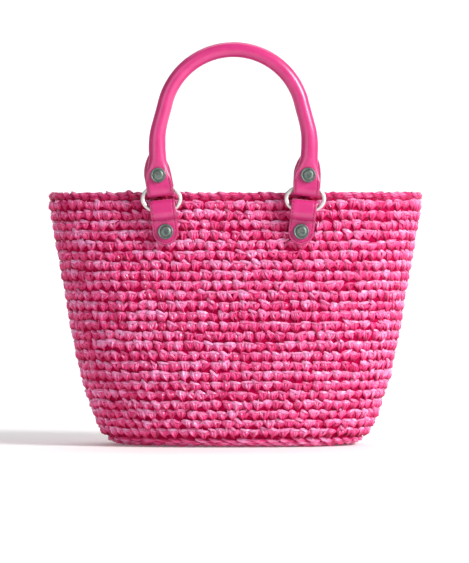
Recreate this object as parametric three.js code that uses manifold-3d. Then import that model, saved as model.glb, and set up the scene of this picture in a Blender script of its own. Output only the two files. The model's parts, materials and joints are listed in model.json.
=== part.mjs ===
// Crocheted raffia beach bag with two rolled leather handles.
// Millimetres, +Z up, the front faces -Y, and the origin is the middle of the flat base.
//
// The bag stands on an oval crocheted base. A thicker round turns the base up into the wall, the wall
// flares to a wide flat mouth, and a closing round finishes the rim. Each handle is a rope core in a
// leather cover. Its two ends loop round plain metal rings, and each ring hangs in a folded leather tab
// that is riveted through the wall on a leather patch. The front handle stands up, and the rear handle
// hangs down outside the bag.
import * as THREE from "three";
import { mergeVertices } from "three/addons/utils/BufferGeometryUtils.js";
import Module from "manifold-3d";

const wasm = await Module();
wasm.setup();

// ---------- driving dimensions ----------

const GAP = 0.3; // kept between pieces that touch

// Crocheted body: half length, half depth and height of the outer face.
const BASE_EDGE = { halfLength: 89.6, halfDepth: 44, chamfer: 4.2 };
const BASE_THICKNESS = 6;
const WELT = { halfLength: 98.5, halfDepth: 52.9, height: 5.2, halfWidth: 4.4, halfHeight: 3.9 };
const WALL_THICKNESS = 6;
const WALL_PROFILE = [
  { height: 9.4, halfLength: 105.4, halfDepth: 59.6 },
  { height: 19, halfLength: 111.2, halfDepth: 64 },
  { height: 51, halfLength: 122.8, halfDepth: 69.8 },
  { height: 90, halfLength: 131.4, halfDepth: 72 },
  { height: 128, halfLength: 137.5, halfDepth: 71.3 },
  { height: 160, halfLength: 143.4, halfDepth: 69.2 },
  { height: 194.3, halfLength: 149.2, halfDepth: 65.6 },
];
const RIM = { halfLength: 145.9, halfDepth: 61.8, height: 197.1, halfWidth: 3.4, halfHeight: 2.5 };
const BASE_SQUARENESS = 2.3; // exponent of the oval: 2 is an ellipse, and more is squarer
const MOUTH_SQUARENESS = 3.4;
const OVAL_POINTS = 44;
const WALL_LEVELS = 8;
const ROUND_POINTS = 6; // round the section of the welt and the rim

// Rings, and where each one turns in its tab and in the handle's end.
const RING_HALF_LENGTH = 14.6; // to the middle of the wire
const RING_HALF_HEIGHT = 10;
const WIRE_RADIUS = 1.7;
const RING_SECTIONS = 28;
const WIRE_SIDES = 6;
const RING_SPREAD = 55.8; // half the distance between the two rings of one handle
const RING_HEIGHT = 194.1;
const STRAP_HALF_WIDTH = 10.3;
const LEATHER = 1.6;
// A strap this wide holds an arc of the ring, and the ring turns about the middle of that arc's height.
const ARC_END = RING_HALF_HEIGHT * Math.sqrt(1 - (STRAP_HALF_WIDTH / RING_HALF_LENGTH) ** 2);
const PIVOT_OFFSET = (RING_HALF_HEIGHT + ARC_END) / 2;
const LOOP_INNER = (RING_HALF_HEIGHT - ARC_END) / 2 + WIRE_RADIUS + GAP;
const LOOP_OUTER = LOOP_INNER + LEATHER;
const TAB_PIVOT_HEIGHT = RING_HEIGHT - PIVOT_OFFSET;
const HANDLE_PLANE = 67.15 + LOOP_OUTER; // from the bag's middle to the plane of a standing handle
const TOE_IN = THREE.MathUtils.degToRad(6.5); // straps lean in towards their lower ends ...
const STRAP_SHIFT = 1.2; // ... through the middle of the ring, so they pass its pivots to one side
const END_SPREAD = RING_SPREAD + STRAP_SHIFT; // half the distance between a handle's two ends
const WALL_LEAN = THREE.MathUtils.degToRad(5.5); // the wall leans in towards the mouth behind the tabs
const TAB_FOLD = PIVOT_OFFSET - 0.5; // from the tab's pivot up to the top of its fold
const END_FOLD = PIVOT_OFFSET - 2; // from the handle's pivot down to the bottom of its fold
const TAB_STUD_DROP = 16.9; // from the tab's pivot down to its stud

// Handles.
const ARCH_RADIUS = 54.5;
const ARCH_TOP = 310; // height of the grip's middle line at the top of a standing handle
const LEGS = [
  { spread: 58.1, height: 247.8 },
  { spread: 59.2, height: 226 },
  { spread: 57.9, height: 219 },
];
const ARCH_START = THREE.MathUtils.degToRad(12); // where the round arch goes over into its legs
const ARCH_POINTS = 9;
const GRIP_RADIUS = 5.9;
const CORE_RADIUS = 4.1;
const GRIP_STEPS = 32;
const END_STUD_RISE = 9.9; // from the handle's pivot up to its stud
const FLARE_START = 10.5; // above the pivot the end narrows from the strap's width ...
const FLARE_END = 22.5; // ... to the grip's
const TAIL = { shift: -2.5, straightTo: 9.5, tip: 34.5, inner: 6.1, outer: 7.6 };

// Studs: a domed head on a shank, and a flat nut on the other side.
const HEAD = { radius: 6.1, height: 2.7, edge: 0.9 };
const SHANK_RADIUS = 1.9;
const NUT = { radius: 4.8, thickness: 2, bore: SHANK_RADIUS + GAP, depth: 1.3 };
const PATCH = { radius: 9.5, thickness: 1.5, offset: 1.9 };
const STUD_SEGMENTS = 12;

// The rear handle lies outside the bag: its rings have turned down, and it hangs plumb from them.
const HANGING = { ring: THREE.MathUtils.degToRad(135), handle: THREE.MathUtils.degToRad(45) };

// ---------- helpers ----------

function solid(geometry) {
  const bare = geometry.index ? geometry.toNonIndexed() : geometry.clone();
  bare.deleteAttribute("normal");
  bare.deleteAttribute("uv");
  const merged = mergeVertices(bare, 1e-4);
  const triVerts = new Uint32Array(merged.index.array);
  return new wasm.Manifold(
    new wasm.Mesh({ numProp: 3, vertProperties: merged.attributes.position.array, triVerts }),
  );
}

function geometryOf(manifold) {
  const mesh = manifold.getMesh();
  const geometry = new THREE.BufferGeometry();
  geometry.setAttribute("position", new THREE.BufferAttribute(mesh.vertProperties, 3));
  geometry.setIndex(new THREE.BufferAttribute(mesh.triVerts, 1));
  geometry.computeVertexNormals();
  return geometry;
}

// A point list as a surface: rings of equal length joined one to the next, back to the first ring if
// it is a tube that closes on itself, or shut by a flat face at each end.
function loft(rings, closesOnItself) {
  const count = rings[0].length;
  const points = rings.flat();
  const index = [];
  const bands = closesOnItself ? rings.length : rings.length - 1;
  for (let band = 0; band < bands; band++) {
    const low = band * count;
    const high = ((band + 1) % rings.length) * count;
    for (let i = 0; i < count; i++) {
      const next = (i + 1) % count;
      index.push(low + i, low + next, high + next, low + i, high + next, high + i);
    }
  }
  if (!closesOnItself) {
    const last = (rings.length - 1) * count;
    for (let i = 1; i < count - 1; i++) {
      index.push(0, i + 1, i);
      index.push(last, last + i, last + i + 1);
    }
  }
  const geometry = new THREE.BufferGeometry().setFromPoints(points);
  geometry.setIndex(index);
  geometry.computeVertexNormals();
  return geometry;
}

// The outline of the bag at one height: an oval whose squareness grows from the base to the mouth.
function oval(halfLength, halfDepth, height) {
  const share = THREE.MathUtils.clamp(height / RIM.height, 0, 1);
  const power = 2 / THREE.MathUtils.lerp(BASE_SQUARENESS, MOUTH_SQUARENESS, share);
  const ring = [];
  for (let i = 0; i < OVAL_POINTS; i++) {
    const angle = (i / OVAL_POINTS) * Math.PI * 2;
    const x = Math.cos(angle);
    const y = Math.sin(angle);
    ring.push(
      new THREE.Vector3(
        halfLength * Math.sign(x) * Math.abs(x) ** power,
        halfDepth * Math.sign(y) * Math.abs(y) ** power,
        height,
      ),
    );
  }
  return ring;
}

// A crocheted round: an oval ring with a rounded section.
function roundOf({ halfLength, halfDepth, height, halfWidth, halfHeight }) {
  const rings = [];
  for (let i = 0; i < ROUND_POINTS; i++) {
    const angle = (i / ROUND_POINTS) * Math.PI * 2;
    const out = halfWidth * Math.cos(angle);
    rings.push(oval(halfLength + out, halfDepth + out, height + halfHeight * Math.sin(angle)));
  }
  return loft(rings, true);
}

function cylinder(radius, length, segments = STUD_SEGMENTS) {
  return new THREE.CylinderGeometry(radius, radius, length, segments); // along Y
}

// A side view, drawn as outward distance and height, given the strap's width along X.
function fromSide(shape, halfWidth) {
  const geometry = new THREE.ExtrudeGeometry(shape, {
    depth: halfWidth * 2,
    bevelEnabled: false,
    curveSegments: 5,
  });
  geometry.translate(0, 0, -halfWidth);
  // Shape x is outward, which is -Y, shape y is up, and the extrusion runs along X.
  const axes = new THREE.Matrix4().makeBasis(
    new THREE.Vector3(0, -1, 0),
    new THREE.Vector3(0, 0, 1),
    new THREE.Vector3(-1, 0, 0),
  );
  return geometry.applyMatrix4(axes);
}

// A front view, drawn as X and height, made deep enough to cut the whole strap.
function fromFront(shape) {
  const depth = 60;
  const geometry = new THREE.ExtrudeGeometry(shape, { depth, bevelEnabled: false, curveSegments: 7 });
  geometry.translate(0, 0, -depth / 2);
  return geometry.rotateX(Math.PI / 2);
}

function piece(name, geometry, material) {
  const mesh = new THREE.Mesh(geometry, material);
  mesh.name = name;
  return mesh;
}

function groupAt(x, y, z) {
  const group = new THREE.Group();
  group.position.set(x, y, z);
  return group;
}

// ---------- materials ----------

const raffia = new THREE.MeshStandardMaterial({ color: 0xd63c86, roughness: 0.45 });
const leather = new THREE.MeshStandardMaterial({ color: 0xe2458f, roughness: 0.5 });
const rope = new THREE.MeshStandardMaterial({ color: 0xe9dcc3, roughness: 0.9 });
const silver = new THREE.MeshStandardMaterial({ color: 0xc9c9c6, roughness: 0.3, metalness: 1 });
const gunmetal = new THREE.MeshStandardMaterial({ color: 0x5d635f, roughness: 0.4, metalness: 1 });

// ---------- crocheted body ----------

function basePanel() {
  const { halfLength, halfDepth, chamfer } = BASE_EDGE;
  return loft(
    [
      oval(halfLength, halfDepth, 0),
      oval(halfLength + chamfer * 0.85, halfDepth + chamfer * 0.85, BASE_THICKNESS * 0.4),
      oval(halfLength + chamfer, halfDepth + chamfer, BASE_THICKNESS),
    ],
    false,
  );
}

function wallShell() {
  const profile = new THREE.CatmullRomCurve3(
    WALL_PROFILE.map((p) => new THREE.Vector3(p.halfLength, p.halfDepth, p.height)),
  );
  const levels = profile.getPoints(WALL_LEVELS);
  const outer = levels.map((p) => oval(p.x, p.y, p.z));
  const inner = levels.map((p) => oval(p.x - WALL_THICKNESS, p.y - WALL_THICKNESS, p.z));
  return loft([...outer, ...inner.reverse()], true);
}

// ---------- ring, tab and studs ----------

// A plain oval ring of wire that stands upright along X.
function ovalRing() {
  const sections = [];
  for (let i = 0; i < RING_SECTIONS; i++) {
    const angle = (i / RING_SECTIONS) * Math.PI * 2;
    const x = Math.cos(angle);
    const z = Math.sin(angle);
    const middle = new THREE.Vector3(RING_HALF_LENGTH * x, 0, RING_HALF_HEIGHT * z);
    const outward = new THREE.Vector3(RING_HALF_HEIGHT * x, 0, RING_HALF_LENGTH * z).normalize();
    const section = [];
    for (let k = 0; k < WIRE_SIDES; k++) {
      const turn = (k / WIRE_SIDES) * Math.PI * 2;
      const point = middle.clone().addScaledVector(outward, WIRE_RADIUS * Math.cos(turn));
      section.push(point.setY(WIRE_RADIUS * Math.sin(turn)));
    }
    sections.push(section);
  }
  return loft(sections, true);
}

// The room that a turning ring takes up, about its pivot line along X.
function ringSweep() {
  const reach = STRAP_HALF_WIDTH + 1.9;
  const steps = 10;
  const profile = [new THREE.Vector2(0, -reach)];
  for (let i = 0; i <= steps; i++) {
    const along = THREE.MathUtils.lerp(-reach, reach, i / steps);
    const share = along / (RING_HALF_LENGTH - WIRE_RADIUS);
    const innerEdge = PIVOT_OFFSET - (RING_HALF_HEIGHT - WIRE_RADIUS) * Math.sqrt(1 - share ** 2);
    profile.push(new THREE.Vector2(Math.max(LOOP_INNER, innerEdge + 2 * GAP), along));
  }
  profile.push(new THREE.Vector2(0, reach));
  return new THREE.LatheGeometry(profile, 18).rotateZ(-Math.PI / 2);
}

// The tab in its own frame: the pivot is the origin, and -Y is away from the wall.
function tabGeometry() {
  const back = -LOOP_OUTER;
  const front = back + 2 * LEATHER; // the two leaves, glued and stitched
  const foldMiddle = TAB_FOLD - LOOP_OUTER;
  const end = -TAB_STUD_DROP - STRAP_HALF_WIDTH;
  const side = new THREE.Shape();
  side.moveTo(back, end);
  side.lineTo(front, end);
  side.lineTo(front, -LOOP_OUTER - 2.4);
  side.quadraticCurveTo(front, -LOOP_OUTER, 0, -LOOP_OUTER);
  side.absarc(0, 0, LOOP_OUTER, -Math.PI / 2, 0);
  side.absarc(0, foldMiddle, LOOP_OUTER, 0, Math.PI);

  const outline = new THREE.Shape();
  outline.moveTo(STRAP_HALF_WIDTH, TAB_FOLD + 1);
  outline.lineTo(-STRAP_HALF_WIDTH, TAB_FOLD + 1);
  outline.absarc(0, -TAB_STUD_DROP, STRAP_HALF_WIDTH, Math.PI, Math.PI * 2);

  const hollow = new THREE.Shape();
  hollow.absarc(0, 1.5, LOOP_INNER, -Math.PI, 0);
  hollow.absarc(0, foldMiddle, LOOP_INNER, 0, Math.PI);
  const studHole = cylinder(SHANK_RADIUS + GAP, 40).translate(0, 0, -TAB_STUD_DROP);

  return (lean) => {
    const strap = solid(fromSide(side, STRAP_HALF_WIDTH + 1)).intersect(solid(fromFront(outline)));
    const cut = strap.subtract(solid(fromSide(hollow, 30))).subtract(solid(studHole));
    const room = ringSweep().translate(Math.sign(lean) * STRAP_SHIFT, 0, 0).rotateY(-lean);
    return geometryOf(cut.subtract(solid(room)));
  };
}

function studHead(radius, shankLength) {
  const profile = [
    [0, HEAD.height],
    [radius * 0.55, HEAD.height * 0.93],
    [radius * 0.88, HEAD.height * 0.62],
    [radius, HEAD.edge],
    [radius, 0],
    [SHANK_RADIUS, 0],
    [SHANK_RADIUS, -shankLength],
    [0, -shankLength],
  ];
  const points = profile.map(([r, y]) => new THREE.Vector2(r, y)).reverse();
  return new THREE.LatheGeometry(points, STUD_SEGMENTS).rotateX(Math.PI); // head towards -Y
}

// The nut's open bore faces the head, and takes the end of the shank.
const nutGeometry = new THREE.LatheGeometry(
  [
    [0, NUT.depth],
    [NUT.bore, NUT.depth],
    [NUT.bore, 0],
    [NUT.radius, 0],
    [NUT.radius, NUT.thickness * 0.6],
    [NUT.radius * 0.8, NUT.thickness],
    [0, NUT.thickness],
  ].map(([r, y]) => new THREE.Vector2(r, y)),
  STUD_SEGMENTS,
);

// Everything of one tab that is fast to the wall, in the tab's frame.
const TAB_FACE = LOOP_OUTER - 2 * LEATHER - GAP; // how far behind the pivot the stud's head sits
const WALL_FACE = LOOP_OUTER; // how far behind it the tab's back is
const PATCH_FACE = WALL_FACE + WALL_THICKNESS + PATCH.offset;
const TAB_NUT_FACE = PATCH_FACE + PATCH.thickness + GAP;

function patchGeometry() {
  const disc = cylinder(PATCH.radius, PATCH.thickness, 18);
  return geometryOf(solid(disc).subtract(solid(cylinder(SHANK_RADIUS + GAP, 20))));
}

function tabFrame(hand) {
  const place = groupAt(hand * RING_SPREAD, -HANDLE_PLANE, TAB_PIVOT_HEIGHT);
  const frame = groupAt(-hand * STRAP_SHIFT, 0, 0);
  frame.rotation.set(-WALL_LEAN, hand * TOE_IN, 0, "XYZ");
  place.add(frame);
  return { place, frame };
}

// ---------- handle ----------

// The middle line of the grip in the handle's frame, from the left end over the arch to the right end.
function gripLine() {
  const originHeight = RING_HEIGHT + PIVOT_OFFSET;
  const half = [];
  for (const { spread, height } of [...LEGS].reverse()) {
    half.push(new THREE.Vector3(spread, 0, height - originHeight));
  }
  const archMiddle = ARCH_TOP - ARCH_RADIUS - originHeight;
  for (let i = 0; i < ARCH_POINTS; i++) {
    const angle = THREE.MathUtils.lerp(ARCH_START, Math.PI / 2, i / (ARCH_POINTS - 1));
    half.push(
      new THREE.Vector3(ARCH_RADIUS * Math.cos(angle), 0, archMiddle + ARCH_RADIUS * Math.sin(angle)),
    );
  }
  const left = half.map((p) => new THREE.Vector3(-p.x, 0, p.z));
  return new THREE.CatmullRomCurve3([...left, ...half.slice(0, -1).reverse()]);
}

function alongGrip(radius, sides) {
  const section = [];
  for (let i = 0; i < sides; i++) {
    const angle = (i / sides) * Math.PI * 2;
    section.push(new THREE.Vector2(radius * Math.cos(angle), radius * Math.sin(angle)));
  }
  return new THREE.ExtrudeGeometry(new THREE.Shape(section), {
    steps: GRIP_STEPS,
    extrudePath: gripLine(),
  });
}

// One end of the cover in its own frame: the pivot is the origin, and -Y is the handle's front.
function handleEnd(hand) {
  const foldMiddle = -END_FOLD + LOOP_OUTER;
  const side = new THREE.Shape();
  side.moveTo(LOOP_OUTER, foldMiddle);
  side.lineTo(LOOP_OUTER, FLARE_END + 2);
  side.lineTo(-TAIL.inner + GAP, FLARE_END + 2);
  side.lineTo(-TAIL.inner + GAP, FLARE_END - 1);
  side.lineTo(-TAIL.inner, FLARE_END - 1);
  side.lineTo(-TAIL.inner, TAIL.tip + 1);
  side.lineTo(-TAIL.outer, TAIL.tip + 1);
  side.lineTo(-TAIL.outer, 2.5);
  side.lineTo(-LOOP_OUTER, -1);
  side.absarc(0, foldMiddle, LOOP_OUTER, Math.PI, Math.PI * 2);

  // The front leaf narrows to the grip, and the tail ends in a long round tip behind it.
  const leaf = new THREE.Shape();
  leaf.moveTo(-STRAP_HALF_WIDTH, -END_FOLD - 1);
  leaf.lineTo(STRAP_HALF_WIDTH, -END_FOLD - 1);
  leaf.lineTo(STRAP_HALF_WIDTH, FLARE_START);
  leaf.bezierCurveTo(STRAP_HALF_WIDTH, 15.5, GRIP_RADIUS - 1, 17.5, GRIP_RADIUS - 1, FLARE_END + 2);
  leaf.lineTo(1 - GRIP_RADIUS, FLARE_END + 2);
  leaf.bezierCurveTo(1 - GRIP_RADIUS, 17.5, -STRAP_HALF_WIDTH, 15.5, -STRAP_HALF_WIDTH, FLARE_START);
  const tail = new THREE.Shape();
  tail.moveTo(-STRAP_HALF_WIDTH, -END_FOLD + LOOP_OUTER);
  tail.lineTo(STRAP_HALF_WIDTH, -END_FOLD + LOOP_OUTER);
  tail.lineTo(TAIL.shift + STRAP_HALF_WIDTH, TAIL.straightTo);
  const rise = TAIL.tip - TAIL.straightTo;
  tail.absellipse(TAIL.shift, TAIL.straightTo, STRAP_HALF_WIDTH, rise, 0, Math.PI);

  const behind = new THREE.BoxGeometry(60, 10, 80).translate(0, 5 + TAIL.inner - GAP, 30);
  const strap = solid(fromSide(side, 30));
  const frontLeaf = strap.intersect(solid(fromFront(leaf)));
  const backLeaf = strap.intersect(solid(fromFront(tail))).intersect(solid(behind));

  const hollow = new THREE.Shape();
  hollow.absarc(0, foldMiddle, LOOP_INNER, -Math.PI, 0);
  hollow.absarc(0, 0, LOOP_INNER, 0, Math.PI);
  const studHole = cylinder(SHANK_RADIUS + GAP, 40).translate(0, 0, END_STUD_RISE);
  return frontLeaf
    .add(backLeaf)
    .subtract(solid(fromSide(hollow, 30)))
    .subtract(solid(studHole))
    .rotate([0, THREE.MathUtils.radToDeg(hand * TOE_IN), 0])
    .translate([hand * END_SPREAD, 0, 0]);
}

function coverGeometry() {
  const grip = solid(alongGrip(GRIP_RADIUS, 10));
  const whole = grip.add(handleEnd(-1)).add(handleEnd(1));
  const cut = [-1, 1].reduce((cover, hand) => {
    // The rope's bore runs on down to the stud's hole.
    const passage = cylinder(SHANK_RADIUS + GAP, 8, 8)
      .rotateX(Math.PI / 2)
      .translate(0, 0, END_STUD_RISE + 4)
      .rotateY(hand * TOE_IN)
      .translate(hand * END_SPREAD, 0, 0);
    const room = ringSweep().translate(hand * RING_SPREAD, 0, 0);
    return cover.subtract(solid(passage)).subtract(solid(room));
  }, whole.subtract(solid(alongGrip(CORE_RADIUS + GAP, 6))));
  return geometryOf(cut);
}

// ---------- assembly ----------

const bag = new THREE.Group();
bag.add(piece("base_panel", basePanel(), raffia));
bag.add(piece("base_welt_round", roundOf(WELT), raffia));
bag.add(piece("rim_round", roundOf(RIM), raffia));

const makeTab = tabGeometry();
const ringGeometry = ovalRing();
const patch = patchGeometry();
const tabStud = studHead(HEAD.radius, TAB_NUT_FACE - TAB_FACE + 1);
const endStud = studHead(HEAD.radius - 0.2, LOOP_OUTER + TAIL.outer + 2 * GAP + 1);
const cover = coverGeometry();
const core = alongGrip(CORE_RADIUS, 6);
let wall = solid(wallShell());

for (const side of ["front", "rear"]) {
  const half = new THREE.Group();
  half.rotation.z = side === "rear" ? Math.PI : 0;
  bag.add(half);
  const ringTurn = side === "rear" ? HANGING.ring : 0;
  const handleTurn = side === "rear" ? HANGING.handle : 0;

  for (const hand of [-1, 1]) {
    // Left and right are named as seen from the front of the bag.
    const isLeft = side === "front" ? hand < 0 : hand > 0;
    const name = `${side}_${isLeft ? "left" : "right"}`;
    const { place, frame } = tabFrame(hand);
    half.add(place);
    frame.add(piece(`${name}_tab`, makeTab(hand * TOE_IN), leather));

    const studAxis = groupAt(0, 0, -TAB_STUD_DROP);
    frame.add(studAxis);
    const head = piece(`${name}_tab_stud`, tabStud, gunmetal);
    head.position.y = TAB_FACE;
    const backing = piece(`${name}_inner_patch`, patch, leather);
    backing.position.y = PATCH_FACE + PATCH.thickness / 2;
    const nut = piece(`${name}_tab_nut`, nutGeometry, gunmetal);
    nut.position.y = TAB_NUT_FACE;
    studAxis.add(head, backing, nut);

    const ring = piece(`${name}_ring`, ringGeometry, silver);
    ring.position.z = PIVOT_OFFSET;
    const ringSwing = new THREE.Group();
    ringSwing.rotation.x = ringTurn;
    ringSwing.add(ring);
    place.add(ringSwing);

    // The wall gives way to the shank.
    bag.updateMatrixWorld(true);
    const hole = cylinder(SHANK_RADIUS + GAP, 60).applyMatrix4(studAxis.matrixWorld);
    wall = wall.subtract(solid(hole));
  }

  const ringSwing = groupAt(0, -HANDLE_PLANE, TAB_PIVOT_HEIGHT);
  ringSwing.rotation.x = ringTurn;
  const handle = groupAt(0, 0, 2 * PIVOT_OFFSET);
  handle.rotation.x = handleTurn;
  ringSwing.add(handle);
  half.add(ringSwing);
  handle.add(piece(`${side}_handle_cover`, cover, leather));
  handle.add(piece(`${side}_handle_core`, core, rope));
  for (const hand of [-1, 1]) {
    const isLeft = side === "front" ? hand < 0 : hand > 0;
    const name = `${side}_${isLeft ? "left" : "right"}`;
    const end = groupAt(hand * END_SPREAD, 0, 0);
    end.rotation.y = hand * TOE_IN;
    const studAxis = groupAt(0, 0, END_STUD_RISE);
    end.add(studAxis);
    handle.add(end);
    const head = piece(`${name}_end_stud`, endStud, gunmetal);
    head.position.y = -LOOP_OUTER - GAP;
    const nut = piece(`${name}_end_nut`, nutGeometry, gunmetal);
    nut.position.y = TAIL.outer + GAP;
    studAxis.add(head, nut);
  }
}
bag.add(piece("wall", geometryOf(wall), raffia));

export default bag;
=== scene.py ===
import json
import math
import bmesh
import bpy
import numpy as np
from mathutils import Matrix, Vector


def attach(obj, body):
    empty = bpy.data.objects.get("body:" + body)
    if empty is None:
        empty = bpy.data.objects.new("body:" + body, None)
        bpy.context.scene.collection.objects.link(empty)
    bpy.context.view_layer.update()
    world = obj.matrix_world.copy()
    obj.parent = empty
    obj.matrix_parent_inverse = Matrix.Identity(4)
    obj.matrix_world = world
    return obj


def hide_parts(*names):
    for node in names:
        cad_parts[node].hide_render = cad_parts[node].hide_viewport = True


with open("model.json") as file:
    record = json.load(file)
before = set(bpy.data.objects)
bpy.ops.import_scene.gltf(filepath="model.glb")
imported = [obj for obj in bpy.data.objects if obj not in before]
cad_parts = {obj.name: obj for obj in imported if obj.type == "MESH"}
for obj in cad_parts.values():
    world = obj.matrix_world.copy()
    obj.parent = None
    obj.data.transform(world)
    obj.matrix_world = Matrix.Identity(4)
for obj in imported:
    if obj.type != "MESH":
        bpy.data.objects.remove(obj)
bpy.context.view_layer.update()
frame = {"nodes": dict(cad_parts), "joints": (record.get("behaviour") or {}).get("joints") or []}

# ---------------------------------------------------------------------------------------------
# Table, light and camera: a plain white sweep, a large soft light from the front right, and a level
# view of the front of the bag from two and a half metres away.

SWEEP_WIDTH, SWEEP_LENGTH, SWEEP_FRONT = 9, 10, -3.6
BEND_STARTS, BEND_ENDS, BEND_RADIUS = 0.62, 0.82, 1.2

bpy.ops.object.select_all(action="DESELECT")
bpy.ops.mesh.primitive_grid_add(x_subdivisions=2, y_subdivisions=24, size=1, location=(0, 0, 0))
sweep = bpy.context.object
sweep.name = "sweep"
for vertex in sweep.data.vertices:
    along = vertex.co.y + 0.5
    bend = min(max((along - BEND_STARTS) / (BEND_ENDS - BEND_STARTS), 0), 1) * math.pi / 2
    rise = max(along - BEND_ENDS, 0) * SWEEP_LENGTH
    vertex.co.x *= SWEEP_WIDTH
    vertex.co.y = SWEEP_FRONT + min(along, BEND_STARTS) * SWEEP_LENGTH + math.sin(bend) * BEND_RADIUS
    vertex.co.z = (1 - math.cos(bend)) * BEND_RADIUS + rise
bpy.ops.object.shade_smooth()

paper = bpy.data.materials.new("white_sweep")
paper.use_nodes = True
paper_sockets = paper.node_tree.nodes["Principled BSDF"].inputs
paper_sockets["Base Color"].default_value = (0.93, 0.93, 0.935, 1)
paper_sockets["Roughness"].default_value = 0.9
paper_sockets["Emission Color"].default_value = (1, 1, 1, 1)
paper_sockets["Emission Strength"].default_value = 0.11
sweep.data.materials.append(paper)

room = bpy.data.worlds.new("white_room")
room.use_nodes = True
room.node_tree.nodes["Background"].inputs["Color"].default_value = (1, 1, 1, 1)
room.node_tree.nodes["Background"].inputs["Strength"].default_value = 0.13
bpy.context.scene.world = room
bpy.context.scene.view_settings.view_transform = "Standard"

for name, place, aim, size, power, tint in (
    ("key_softbox", (2.15, -1.3, 1.5), (0, 0, 0.12), 1.1, 112, (1, 0.99, 0.98)),
    ("fill_softbox", (-1.7, -2.3, 1.0), (0, 0, 0.15), 1.8, 19, (1, 0.98, 0.99)),
    ("backdrop_light", (0, 1.2, 2.6), (0, 3.2, 0.6), 2.5, 60, (1, 1, 1)),
):
    bpy.ops.object.light_add(type="AREA", location=place)
    lamp = bpy.context.object
    lamp.name = name
    lamp.data.size = size
    lamp.data.energy = power
    lamp.data.color = tint
    lamp.rotation_euler = (Vector(aim) - Vector(place)).to_track_quat("-Z", "Y").to_euler()

VIEW_TURN = math.radians(1.35)
VIEW_DISTANCE = 2.5
VIEW_HEIGHT = 0.130
VIEW_CENTRE = -0.0008
camera_x = VIEW_CENTRE + VIEW_DISTANCE * math.sin(VIEW_TURN)
camera_y = -VIEW_DISTANCE * math.cos(VIEW_TURN)
bpy.ops.object.camera_add(location=(camera_x, camera_y, VIEW_HEIGHT),
                          rotation=(math.pi / 2, 0, VIEW_TURN))
bpy.context.object.data.lens = 200
bpy.context.object.data.sensor_width = 36
bpy.context.scene.camera = bpy.context.object

# ---------------------------------------------------------------------------------------------
# The crocheted wall: V-shaped stitches of glossy dyed raffia, worked round and round from the base
# to the mouth, with a plain ridge on the inside and dark hollows between the rows, deepened with
# painted shade.

class Socket:
    """A shader socket that can be added, multiplied and mixed in a plain expression."""

    def __init__(self, tree, link):
        self.tree = tree
        self.link = link

    def node(self, kind, settings, values, output=0):
        made = self.tree.nodes.new(kind)
        for key, value in settings.items():
            if key == "stops":
                ramp = made.color_ramp
                while len(ramp.elements) < len(value):
                    ramp.elements.new(0.5)
                for element, (where, colour) in zip(ramp.elements, value):
                    element.position = where
                    element.color = (*colour, 1)
            else:
                setattr(made, key, value)
        for key, value in values.items():
            if isinstance(value, Socket):
                self.tree.links.new(value.link, made.inputs[key])
            else:
                made.inputs[key].default_value = value
        return Socket(self.tree, made.outputs[output])

    def math(self, operation, other):
        return self.node("ShaderNodeMath", {"operation": operation}, {0: self, 1: other})

    def __add__(self, other):
        return self.math("ADD", other)

    __radd__ = __add__

    def __mul__(self, other):
        return self.math("MULTIPLY", other)

    __rmul__ = __mul__

    def __sub__(self, other):
        return self.math("SUBTRACT", other)

    def __rsub__(self, other):
        return self.node("ShaderNodeMath", {"operation": "SUBTRACT"}, {0: other, 1: self})

    def noise(self, scale, detail=3, roughness=0.55):
        return self.node("ShaderNodeTexNoise", {}, {"Vector": self, "Scale": scale, "Detail": detail,
                                                    "Roughness": roughness})

    def stretched(self, x, y, z):
        return self.node("ShaderNodeMapping", {}, {"Vector": self, "Scale": (x, y, z)})

    def ramp(self, *stops):
        return self.node("ShaderNodeValToRGB", {"stops": stops}, {"Fac": self})

    def mixed(self, first, second):
        mix = self.node("ShaderNodeMix", {"data_type": "RGBA"}, {0: self}).link.node
        for slot, value in ((6, first), (7, second)):
            if isinstance(value, Socket):
                self.tree.links.new(value.link, mix.inputs[slot])
            else:
                mix.inputs[slot].default_value = (*value, 1)
        return Socket(self.tree, mix.outputs[2])


def finish_named(name, **constants):
    """A new material with its Principled shader, the constants set on it, and a first socket."""
    material = bpy.data.materials.new(name)
    material.use_nodes = True
    shader = material.node_tree.nodes["Principled BSDF"]
    for key, value in constants.items():
        shader.inputs[key.replace("_", " ").title().replace("Ior", "IOR")].default_value = value
    place = material.node_tree.nodes.new("ShaderNodeTexCoord")
    return material, shader, Socket(material.node_tree, place.outputs["Object"])


def feed(shader, colour=None, roughness=None, height=None, depth=0.001):
    """Sends what varies over a surface to its shader."""
    for key, value in (("Base Color", colour), ("Roughness", roughness)):
        if value is not None:
            value.tree.links.new(value.link, shader.inputs[key])
    if height is not None:
        bump = height.node("ShaderNodeBump", {}, {"Height": height, "Distance": depth,
                                                  "Strength": 1.0})
        height.tree.links.new(bump.link, shader.inputs["Normal"])


# How square the outline is: 2 is an ellipse.
SQUARE_AT_BASE = 2.3
SQUARE_AT_MOUTH = 3.4
MOUTH_HEIGHT = 0.1971
# Height, half length and half depth of the bag's outer face.
WALL_PROFILE = np.array([
    (0.0094, 0.1072, 0.0608), (0.0190, 0.1124, 0.0646), (0.0510, 0.1230, 0.0698),
    (0.0900, 0.1314, 0.0720), (0.1280, 0.1375, 0.0713), (0.1600, 0.1434, 0.0692),
    (0.1943, 0.1492, 0.0656), (0.2000, 0.1495, 0.0650),
])
ROUND_STEPS = 720


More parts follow.
